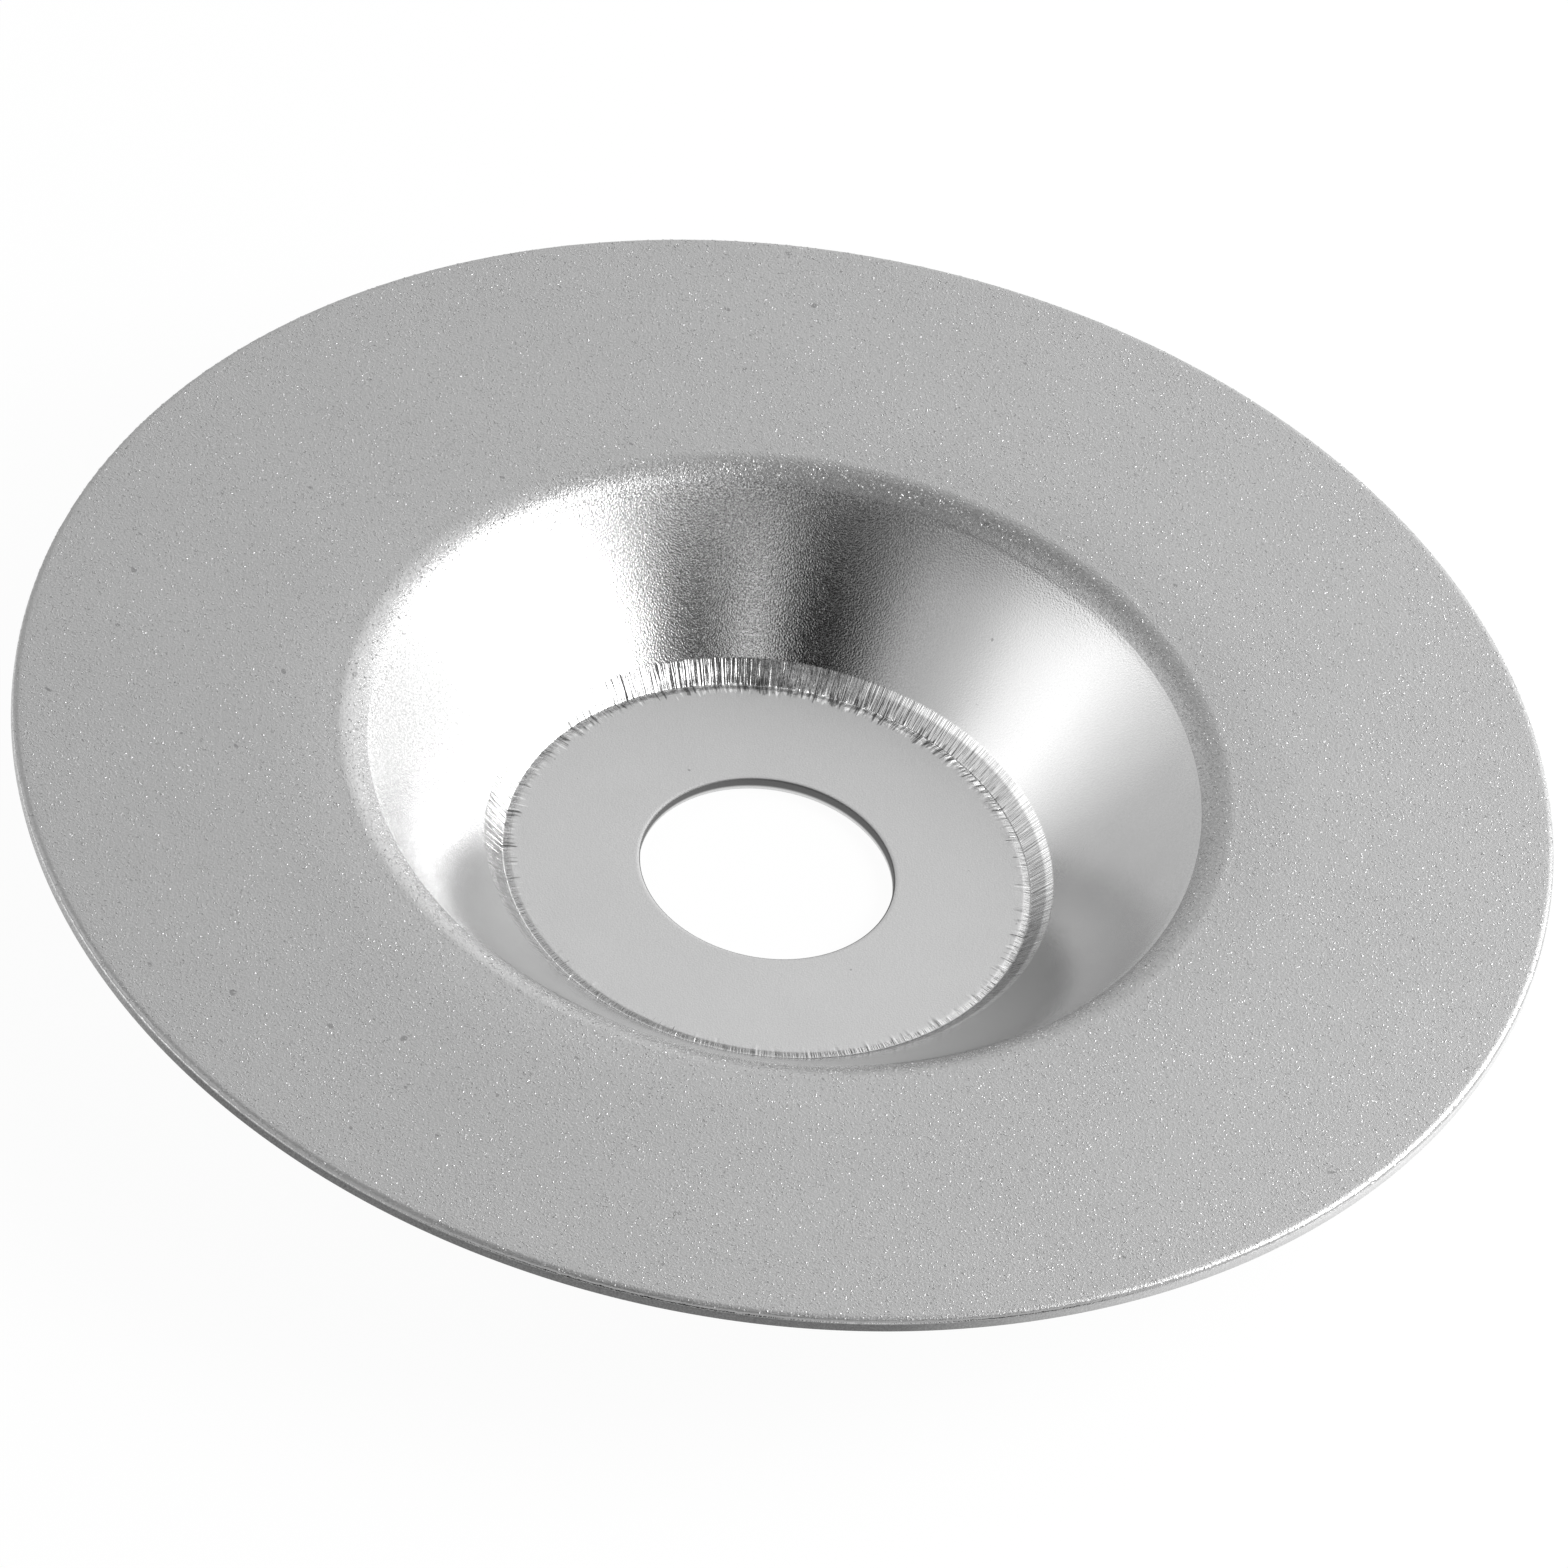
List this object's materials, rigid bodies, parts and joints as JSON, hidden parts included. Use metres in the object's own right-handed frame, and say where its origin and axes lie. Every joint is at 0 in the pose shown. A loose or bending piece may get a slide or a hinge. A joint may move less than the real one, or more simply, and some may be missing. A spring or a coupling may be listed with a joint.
{
  "type": "diamond grinding wheel",
  "caption": "Thin pressed steel disc with a deep conical recess round its bore; the flat flange outside the recess is coated on its front with nickel-bonded diamond grit.",
  "frame": {"origin": "centre of the bore on the back face of the hub, which the wheel lies on", "axes": "+Z along the bore, towards the grinding side, so the dish opens upwards; X and Y in the plane of the hub, and the wheel is the same all the way round"},
  "size_m": [0.1, 0.1, 0.0112],
  "materials": {
    "steel": "satin plated steel, bright on the wall of the dish, matt on the hub, with fine radial drawing marks in the hub's corner",
    "nickel": "matt grey electroplated nickel",
    "grit": "fine matt grey crystal grain with sparse bright facets"
  },
  "bodies": {
    "root": {"pressed_steel_dish": "steel", "nickel_bond": "nickel", "diamond_grit": "grit"}
  },
  "joints": []
}
